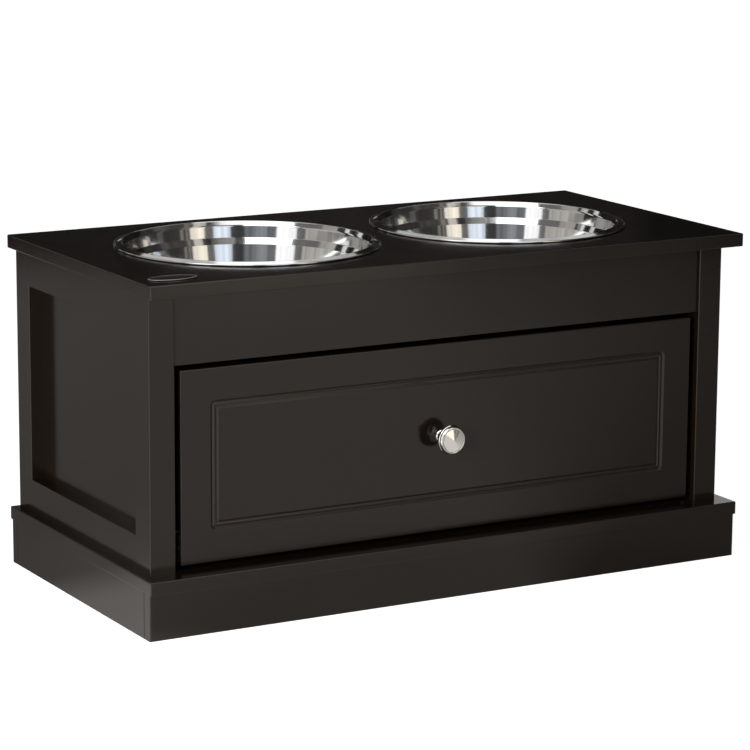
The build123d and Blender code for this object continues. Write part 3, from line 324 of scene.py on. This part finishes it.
def make_materials():
    return {
        "espresso_lacquer": espresso_lacquer(),
        "drawer_laminate": drawer_laminate(),
        "dark_hardboard": dark_hardboard(),
        "raw_pine": sawn_wood("raw_pine", (0.62, 0.42, 0.23), (0.45, 0.27, 0.13), 3.0, (60.0, 60.0, 12.0)),
        "beech_dowel": sawn_wood("beech_dowel", (0.60, 0.40, 0.24), (0.47, 0.29, 0.16), 4.0, (200.0, 200.0, 200.0)),
        "stainless_steel": turned_metal(
            "stainless_steel", ((0.66, 0.66, 0.66), (0.76, 0.76, 0.755)), (0.06, 0.10), 0.2, "Z", 900.0, 0.000002, 0.00006,
        ),
        "satin_nickel": turned_metal(
            "satin_nickel", ((0.88, 0.865, 0.82), (0.98, 0.965, 0.93)), (0.07, 0.12), 0.3, "Y", 160.0, 0.000004, 0.0,
        ),
        "plate_bronze": plate_bronze(),
        "zinc_steel": plain_metal("zinc_steel", (0.62, 0.63, 0.64), (0.46, 0.47, 0.47), (0.28, 0.42), 700.0),
        "zinc_diecast": plain_metal("zinc_diecast", (0.52, 0.52, 0.52), (0.42, 0.42, 0.43), (0.40, 0.52), 500.0),
        "runner_epoxy": coated("runner_epoxy", (0.70, 0.68, 0.61), (0.64, 0.62, 0.55), (0.30, 0.40), 700.0, 0.00003),
        "nylon": coated("nylon", (0.78, 0.78, 0.74), (0.72, 0.72, 0.68), (0.38, 0.48), 1500.0, 0.00001),
    }


# ---------------------------------------------------------------- mesh helpers
HOLD = 0.05 * MM            # a rounding is followed by a ring this far along the straight run, which keeps it straight


def rounded(points, radii, steps=6):
    """The open outline through points, each inner corner rounded to its radius by an arc of steps runs."""
    outline = [Vector(points[0])]
    for before, corner, after, radius in zip(points, points[1:], points[2:], radii):
        corner = Vector(corner)
        to_before = (Vector(before) - corner).normalized()
        to_after = (Vector(after) - corner).normalized()
        half_turn = to_before.angle(to_after) / 2
        reach = radius / math.tan(half_turn)
        start = corner + to_before * reach
        end = corner + to_after * reach
        centre = corner + (to_before + to_after).normalized() * (radius / math.sin(half_turn))
        outline.append(start + to_before * HOLD)
        for i in range(steps + 1):
            spoke = (start - centre).lerp(end - centre, i / steps)
            outline.append(centre + spoke.normalized() * radius)
        outline.append(end + to_after * HOLD)
    outline.append(Vector(points[-1]))
    return outline


def finished(name, mesh_data, slot, body, node, sharp_degrees=50.0):
    """Turns a bmesh into a piece that stands for a node."""
    bmesh.ops.remove_doubles(mesh_data, verts=mesh_data.verts, dist=1e-6)
    bmesh.ops.recalc_face_normals(mesh_data, faces=mesh_data.faces)
    mesh = bpy.data.meshes.new(name)
    mesh_data.to_mesh(mesh)
    mesh_data.free()
    mesh.shade_smooth()
    mesh.set_sharp_from_angle(angle=math.radians(sharp_degrees))
    piece = bpy.data.objects.new(name, mesh)
    bpy.context.scene.collection.objects.link(piece)
    mesh.materials.append(MATERIALS[slot])
    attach(piece, body)
    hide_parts(node)
    return piece


def lathe(outline, segments, point):
    """A bmesh turned from an outline of (radius, along); point places (radius, along, angle) in the frame."""
    mesh_data = bmesh.new()
    rings = []
    for radius, along in outline:
        count = segments if radius > 1e-7 else 1
        turns = [2 * math.pi * i / segments for i in range(count)]
        rings.append([mesh_data.verts.new(point(radius, along, turn)) for turn in turns])
    for ring, following in zip(rings, rings[1:]):
        for i in range(segments):
            corners = [ring[i % len(ring)], ring[(i + 1) % len(ring)]]
            corners += [following[(i + 1) % len(following)], following[i % len(following)]]
            unique = list(dict.fromkeys(corners))
            if len(unique) > 2:
                mesh_data.faces.new(unique)
    return mesh_data


# ---------------------------------------------------------------- bowls
BOWL_SEGMENTS = 256
SHEET = 0.9 * MM
HEM_R = 0.9 * MM            # rolled outer edge of the rim


def bowl_outline(rim_radius, depth):
    """Steel from the middle of the floor up the inside, over the rim, round its rolled edge and back below."""
    foot = 93.0 * MM
    step = rim_radius - 12.1 * MM       # upper edge of the stacking step
    shoulder = step + 1.9 * MM          # lower edge of the flared mouth
    crest = shoulder + 2.9 * MM
    hem_middle = Vector((rim_radius - HEM_R, 1.0 * MM))
    hem = [
        hem_middle + HEM_R * Vector((math.sin(turn), math.cos(turn)))
        for turn in [math.radians(angle) for angle in range(-60, 256, 15)]
    ]
    inside = rounded(
        [
            (0, -depth),
            (foot, -depth),
            (step - 3.4 * MM, -17.2 * MM),
            (step, -11.5 * MM),
            (shoulder, -1.0 * MM),
            (crest, 3.6 * MM),
            (hem[0].x - 0.7 * MM, 1.3 * MM),
            hem[0],
        ],
        [12.0 * MM, 1.3 * MM, 1.3 * MM, 5.0 * MM, 0.9 * MM, 0.5 * MM],
        steps=8,
    )
    below = rounded(
        [
            hem[-1],
            (hem[-1].x - 0.5 * MM, 0.75 * MM),
            (crest + 0.4 * MM, 3.6 * MM - 1.3 * SHEET),
            (shoulder + 1.1 * SHEET, -1.2 * MM),
            (step + SHEET, -11.5 * MM - 0.3 * MM),
            (step - 3.4 * MM + SHEET, -17.2 * MM - 0.3 * MM),
            (foot + SHEET, -depth - SHEET),
            (0, -depth - SHEET),
        ],
        [0.3 * MM, 0.5 * MM, 3.0 * MM, 1.0 * MM, 0.6 * MM, 12.0 * MM + SHEET],
        steps=6,
    )
    return inside + hem[1:-1] + below


def make_bowls():
    for side in ("left", "right"):
        low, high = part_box(f"bowl_{side}")
        middle = (low + high) / 2
        rim_radius = (high.x - low.x) / 2
        depth = SURFACE_Z - low.z - SHEET

        def on_axis(radius, along, turn):
            return (middle.x + radius * math.cos(turn), middle.y + radius * math.sin(turn), SURFACE_Z + along)

        mesh_data = lathe(bowl_outline(rim_radius, depth), BOWL_SEGMENTS, on_axis)
        finished(f"spun_bowl_{side}", mesh_data, "stainless_steel", f"bowl_{side}", f"bowl_{side}")


# ---------------------------------------------------------------- knob
KNOB_SEGMENTS = 128


def make_knob():
    low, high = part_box("knob")
    middle = (low + high) / 2
    rim = (high.x - low.x) / 2
    length = high.y - low.y
    outline = rounded(
        [
            (0, 0),
            (5.6 * MM, 0),
            (5.6 * MM, 0.9 * MM),
            (4.7 * MM, 1.9 * MM),
            (4.6 * MM, 7.6 * MM),
            (7.4 * MM, 12.6 * MM),
            (12.4 * MM, 15.7 * MM),
            (rim, 16.6 * MM),
            (rim, 18.6 * MM),
            (rim - 0.4 * MM, 19.1 * MM),
            (rim - 0.9 * MM, 20.6 * MM),
            (11.4 * MM, 22.05 * MM),
            (11.05 * MM, 21.9 * MM),
            (10.9 * MM, 21.0 * MM),
            (10.2 * MM, 21.0 * MM),
            (10.05 * MM, 22.1 * MM),
            (0.15 * MM, length - 0.02 * MM),
            (0, length),
        ],
        [MM * radius for radius in (0.3, 0.3, 0.6, 4.0, 8.0, 2.0, 0.4, 0.4, 0.25, 0.25, 0.7, 0.1, 0.12, 0.1, 0.1, 0.01)],
        steps=5,
    )

    def on_axis(radius, along, turn):
        return (middle.x + radius * math.cos(turn), high.y - along, middle.z + radius * math.sin(turn))

    finished("turned_knob", lathe(outline, KNOB_SEGMENTS, on_axis), "satin_nickel", "drawer", "knob")


# ---------------------------------------------------------------- drawer front
CORNER_STEPS = 10


def rounded_rectangle(half_width, half_height, radius):
    """Points round a rectangle, the same number whatever its size: quarter arcs joined by straight runs."""
    points = []
    for x_sign, z_sign, first in ((1, 1, 0), (-1, 1, 90), (-1, -1, 180), (1, -1, 270)):
        centre = (x_sign * (half_width - radius), z_sign * (half_height - radius))
        for i in range(CORNER_STEPS + 1):
            turn = math.radians(first + 90 * i / CORNER_STEPS)
            points.append((centre[0] + radius * math.cos(turn), centre[1] + radius * math.sin(turn)))
    return points


def make_drawer_front():
    """A board whose face carries a routed moulding: a deep groove, a thin bead and a second groove."""
    low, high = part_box("drawer_front")
    middle = (low + high) / 2
    half_width = (high.x - low.x) / 2
    half_height = (high.z - low.z) / 2
    border = 28.3 * MM
    bead_from = border + 3.6 * MM
    bead_to = bead_from + 0.9 * MM
    panel = bead_to + 3.3 * MM
    board = high.y - low.y
    profile = rounded(
        [
            (0, board),
            (0, 0),
            (border, 0),
            (border + 1.8 * MM, 1.35 * MM),
            (border + 2.3 * MM, 1.35 * MM),
            (bead_from, 0.35 * MM),
            (bead_to, 0.35 * MM),
            (bead_to + 1.0 * MM, 0.9 * MM),
            (bead_to + 1.6 * MM, 0.9 * MM),
            (panel, 0),
            (panel + 4.0 * MM, 0),
        ],
        [1.0 * MM, 0.4 * MM, 0.25 * MM, 0.25 * MM, 0.25 * MM, 0.25 * MM, 0.25 * MM, 0.25 * MM, 0.4 * MM],
        steps=4,
    )
    mesh_data = bmesh.new()
    rings = []
    for inset, sunk in profile:
        corner = max(4.5 * MM - (inset - border), 0.6 * MM) if inset > border - 2.0 * MM else 0.4 * MM
        ring = rounded_rectangle(half_width - inset, half_height - inset, corner)
        rings.append([mesh_data.verts.new((middle.x + x, low.y + sunk, middle.z + z)) for x, z in ring])
    for ring, following in zip(rings, rings[1:]):
        for i in range(len(ring)):
            j = (i + 1) % len(ring)
            mesh_data.faces.new((ring[i], ring[j], following[j], following[i]))
    mesh_data.faces.new(rings[0])
    mesh_data.faces.new(rings[-1])
    finished("moulded_drawer_front", mesh_data, "espresso_lacquer", "drawer", "drawer_front", sharp_degrees=30.0)


# ---------------------------------------------------------------- studio
FILL = 0.16                 # even light from all round
KEY_PLACE = (-1.7, -1.2, 0.62)
KEY_SIZE = (0.9, 0.7)
KEY_POWER = 33.0
FLOOR_HALF = 16.0
FLOOR_GLOW = 0.90           # light of the pale floor's own, so that it comes out white
WALL_R = 1.9                # the walls that shiny surfaces see stand round the feeder
WALL_SPLIT = 0.55           # heights where the lower wall meets the upper one, and that one the top one
WALL_SPLIT_TOP = 1.55
CEILING_Z = 3.4
CEILING = (0.05, 0.05, 0.05)
SOFTBOX_Z = 3.0
SOFTBOX_X = (-1.50, 1.20)
SOFTBOX_Y = (-1.90, 1.60)
SOFTBOX = (1.5, 1.5, 1.5)

# What shiny surfaces see round the feeder: azimuth from the front, counted to the right, and colour from there on.
FRONT_WALL = (
    (-91, (0.52, 0.50, 0.46)),
    (-86, (0.20, 0.20, 0.20)),
    (-80, (1.35, 1.35, 1.36)),
    (-61, (0.16, 0.165, 0.18)),
    (-52, (0.32, 0.335, 0.36)),
    (-40, (0.18, 0.19, 0.205)),
    (-28, (0.05, 0.05, 0.052)),
    (-15.5, (0.95, 1.04, 1.16)),
    (3.5, (0.16, 0.16, 0.155)),
    (13.5, (1.20, 1.10, 0.94)),
    (27.5, (0.10, 0.095, 0.09)),
    (31, (0.50, 0.46, 0.40)),
    (33.5, (0.08, 0.075, 0.07)),
    (36, (0.30, 0.28, 0.25)),
    (38, (0.05, 0.047, 0.044)),
    (62, (0.12, 0.115, 0.11)),
    (70, (0.04, 0.038, 0.036)),
)
REAR_LOW = (
    (-180, (0.012, 0.012, 0.012)),
    (-134, (0.30, 0.29, 0.27)),
)
REAR_HIGH = (
    (-180, (0.012, 0.012, 0.012)),
    (-166, (0.75, 0.75, 0.75)),
    (-160, (0.02, 0.02, 0.02)),
    (-150, (0.90, 0.88, 0.84)),
    (-144, (0.03, 0.03, 0.03)),
    (-134, (0.50, 0.485, 0.455)),
)
FAR_LOW = ((104, (0.012, 0.012, 0.012)),)
FAR_HIGH = ((104, (0.010, 0.010, 0.010)), (139, (0.026, 0.023, 0.021)), (147, (0.030, 0.026, 0.024)), (159, (0.018, 0.016, 0.014)))
TOP_WALL = (
    (-180, (0.60, 0.60, 0.58)),
    (-168, (0.02, 0.02, 0.02)),
    (-150, (0.60, 0.58, 0.54)),
    (-141, (0.03, 0.03, 0.03)),
    (-137, (0.42, 0.40, 0.37)),
    (-117, (0.17, 0.165, 0.16)),
    (-86, (2.6, 2.6, 2.6)),
    (-28, (0.05, 0.05, 0.05)),
    (-14, (0.30, 0.295, 0.28)),
    (6, (0.16, 0.155, 0.15)),
    (15, (0.03, 0.03, 0.03)),
    (25, (0.70, 0.66, 0.60)),
    (36, (0.10, 0.09, 0.08)),
    (41, (0.24, 0.225, 0.20)),
    (47, (0.07, 0.065, 0.06)),
    (70, (0.10, 0.095, 0.09)),
    (90, (0.02, 0.02, 0.02)),
    (108, (0.60, 0.60, 0.58)),
)
LEDGE_CARD_X = (0.45, 0.86)                 # a bright card that only the ledge's right end mirrors
LEDGE_CARD_Y = 0.50
LEDGE_CARD_Z = (0.06, 0.28)
LEDGE_CARD_GLOW = (0.88, 0.88, 0.88)
HEM_CARD_X = (-0.20, 1.70)                  # a low strip behind, which draws a light line along the bowls' hems
HEM_CARD_Y = 1.55
HEM_CARD_Z = (0.30, 0.37)
HEM_CARD_GLOW = (0.55, 0.55, 0.55)
NEAR_FLOOR_SHADE = (0.27, 0.40, 0.74)             # painted shade of the feeder on the floor that shiny surfaces see: dimmer within the first radius, plain from the second on
LEFT_FLOOR = (-1.10, -0.35, 1.12, 0.80)     # from the first X to the second it goes from the third level to the last
FLOOR_TINT = (1.0, 0.955, 0.92)
FLOOR_SEEN = (
    (-180, 1.00),
    (-165, 0.95),
    (-155, 0.29),
    (-125, 0.29),
    (-104, 0.42),
    (-90, 1.10),
    (-64, 1.30),
    (-56, 0.77),
    (27, 0.77),
    (43, 0.29),
    (100, 0.20),
    (135, 0.90),
    (180, 1.00),
)


def by_azimuth(n, place, stops, interpolation, bend=None):
    """A colour that depends on the direction round the feeder's middle."""
    at = n.split(place)
    turn = n.math("ARCTAN2", at["X"], n.math("MULTIPLY", at["Y"], -1.0))
    share = n.math("ADD", n.math("MULTIPLY", turn, 0.5 / math.pi), 0.5)
    if bend is not None:
        share = n.math("ADD", share, bend)
    ramp = n.add("ShaderNodeValToRGB", {"Fac": share})
    ramp.color_ramp.interpolation = interpolation
    elements = ramp.color_ramp.elements
    while len(elements) > 1:
        elements.remove(elements[-1])
    for number, (azimuth, colour) in enumerate(stops):
        element = elements[0] if number == 0 else elements.new(azimuth / 360 + 0.5)
        element.position = azimuth / 360 + 0.5
        element.color = rgba(*colour)
    return ramp.outputs["Color"]


def only_for_shine(surface):
    """Leaves a studio surface visible to shiny surfaces alone."""
    surface.visible_camera = False
    surface.visible_diffuse = False
    surface.visible_shadow = False
    surface.visible_transmission = False


def plain_surface(name, points, faces, material):
    mesh = bpy.data.meshes.new(name)
    mesh.from_pydata(points, [], faces)
    mesh.materials.append(material)
    surface = bpy.data.objects.new(name, mesh)
    bpy.context.scene.collection.objects.link(surface)
    return surface


def card(name, points, colour):
    material, n = new_material(name)
    n.surface(n.add("ShaderNodeEmission", {"Color": rgba(*colour)}).outputs[0])
    only_for_shine(plain_surface(name, points, [(0, 1, 2, 3)], material))


def level_card(name, x_range, y_range, z, colour):
    (x0, x1), (y0, y1) = x_range, y_range
    card(name, [(x0, y0, z), (x1, y0, z), (x1, y1, z), (x0, y1, z)], colour)


def upright_card(name, x_range, y, z_range, colour):
    (x0, x1), (z0, z1) = x_range, z_range
    card(name, [(x0, y, z0), (x1, y, z0), (x1, y, z1), (x0, y, z1)], colour)


def wall(name, low, high, stops):
    """A round wall whose bright and dark upright bands bend and streak a little."""
    material, n = new_material(name)
    place = n.coordinates()["Object"]
    slow = n.noise(n.stretched(place, (1.0, 1.0, 2.5)), 1.6, detail=2.0)
    bend = n.math("MULTIPLY", n.math("SUBTRACT", slow, 0.5), 0.035)
    streaks = n.noise(n.stretched(place, (9.0, 9.0, 0.9)), 1.0, detail=4.0, roughness=0.65)
    colour = by_azimuth(n, place, stops, "CONSTANT", bend)
    glow = n.add("ShaderNodeEmission", {"Color": colour, "Strength": n.remap(streaks, 0.3, 0.7, 0.65, 1.35)})
    n.surface(glow.outputs[0])
    count = 96
    points = []
    for i in range(count):
        turn = 2 * math.pi * i / count
        points += [(WALL_R * math.cos(turn), WALL_R * math.sin(turn), z) for z in (low, high)]
    faces = [(2 * i, 2 * ((i + 1) % count), 2 * ((i + 1) % count) + 1, 2 * i + 1) for i in range(count)]
    only_for_shine(plain_surface(name, points, faces, material))


def make_surroundings():
    wall("studio_wall_low", 0.0, WALL_SPLIT, REAR_LOW + FRONT_WALL + FAR_LOW)
    wall("studio_wall_high", WALL_SPLIT, WALL_SPLIT_TOP, REAR_HIGH + FRONT_WALL + FAR_HIGH)
    wall("studio_wall_top", WALL_SPLIT_TOP, CEILING_Z, TOP_WALL)
    level_card("studio_ceiling", (-WALL_R, WALL_R), (-WALL_R, WALL_R), CEILING_Z, CEILING)
    level_card("studio_softbox", SOFTBOX_X, SOFTBOX_Y, SOFTBOX_Z, SOFTBOX)
    upright_card("studio_ledge_card", LEDGE_CARD_X, LEDGE_CARD_Y, LEDGE_CARD_Z, LEDGE_CARD_GLOW)
    upright_card("studio_hem_card", HEM_CARD_X, HEM_CARD_Y, HEM_CARD_Z, HEM_CARD_GLOW)


def ray_is(n, *kinds):
    path = n.add("ShaderNodeLightPath").outputs
    total = path[kinds[0]]
    for kind in kinds[1:]:
        total = n.math("ADD", total, path[kind], clamp=True)
    return total


def make_floor():
    """A pale floor: white where it is looked at, with the feeder's shadow; for shiny surfaces darker to the right and
    dimmer near the feeder, a painted shade.
    """
    material, n = new_material("studio_floor")
    place = n.coordinates()["Object"]
    pale = n.mix(n.noise(place, 60.0), rgba(0.80, 0.80, 0.80), rgba(0.83, 0.83, 0.83))
    matt = n.add("ShaderNodeBsdfDiffuse", {"Color": pale})
    glow = n.add("ShaderNodeEmission", {"Color": rgba(1, 1, 1)})
    n.put(glow.inputs["Strength"], n.math("MULTIPLY", ray_is(n, "Is Camera Ray", "Is Transmission Ray"), FLOOR_GLOW))
    seen = n.add("ShaderNodeAddShader")
    n.put(seen.inputs[0], matt.outputs[0])
    n.put(seen.inputs[1], glow.outputs[0])
    stops = [(azimuth, [level * tint for tint in FLOOR_TINT]) for azimuth, level in FLOOR_SEEN]
    at = n.split(place)
    reach = n.math("SQRT", n.math("ADD", n.math("POWER", at["X"], 2.0), n.math("POWER", at["Y"], 2.0)))
    near, plain, shaded_level = NEAR_FLOOR_SHADE
    # the floor that shiny surfaces see is darkened near the feeder, a painted shade in place of its shadow
    level = n.math("MULTIPLY", n.remap(reach, near, plain, shaded_level, 1.0), n.remap(at["X"], *LEFT_FLOOR))
    mirrored = n.add("ShaderNodeEmission", {"Color": by_azimuth(n, place, stops, "LINEAR"), "Strength": level})
    either = n.add("ShaderNodeMixShader", {0: ray_is(n, "Is Glossy Ray")})
    n.put(either.inputs[1], seen.outputs[0])
    n.put(either.inputs[2], mirrored.outputs[0])
    n.surface(either.outputs[0])
    side = FLOOR_HALF
    points = [(-side, -side, 0), (side, -side, 0), (side, side, 0), (-side, side, 0)]
    plain_surface("studio_floor", points, [(0, 1, 2, 3)], material)


def area_light(name, place, target, size, power, colour=(1, 1, 1), shiny=True):
    data = bpy.data.lights.new(name, "AREA")
    data.shape = "RECTANGLE"
    data.size, data.size_y = size
    data.energy = power
    data.color = colour
    light = bpy.data.objects.new(name, data)
    light.location = place
    light.rotation_euler = (Vector(target) - Vector(place)).to_track_quat("-Z", "Y").to_euler()
    light.visible_glossy = shiny
    bpy.context.scene.collection.objects.link(light)


def make_lights():
    world = bpy.data.worlds.new("studio")
    bpy.context.scene.world = world
    world.use_nodes = True
    n = Nodes(world.node_tree)
    seen = ray_is(n, "Is Camera Ray", "Is Glossy Ray", "Is Transmission Ray")
    background = n.add("ShaderNodeBackground", {"Color": rgba(1, 1, 1)})
    n.put(background.inputs["Strength"], n.remap(seen, 0.0, 1.0, FILL, 1.0))
    output = n.add("ShaderNodeOutputWorld")
    n.put(output.inputs["Surface"], background.outputs[0])
    area_light("key_left", KEY_PLACE, (0, -0.05, 0.15), KEY_SIZE, KEY_POWER, shiny=False)


make_camera()
MATERIALS = make_materials()
for entry in frame["record"]["subparts"]:
    mesh = NODES[entry["node"]].data
    mesh.materials.clear()
    mesh.materials.append(MATERIALS[entry["material_slot"]])
make_bowls()
make_knob()
make_drawer_front()
make_floor()
make_surroundings()
make_lights()
bpy.context.scene.view_settings.view_transform = "Standard"
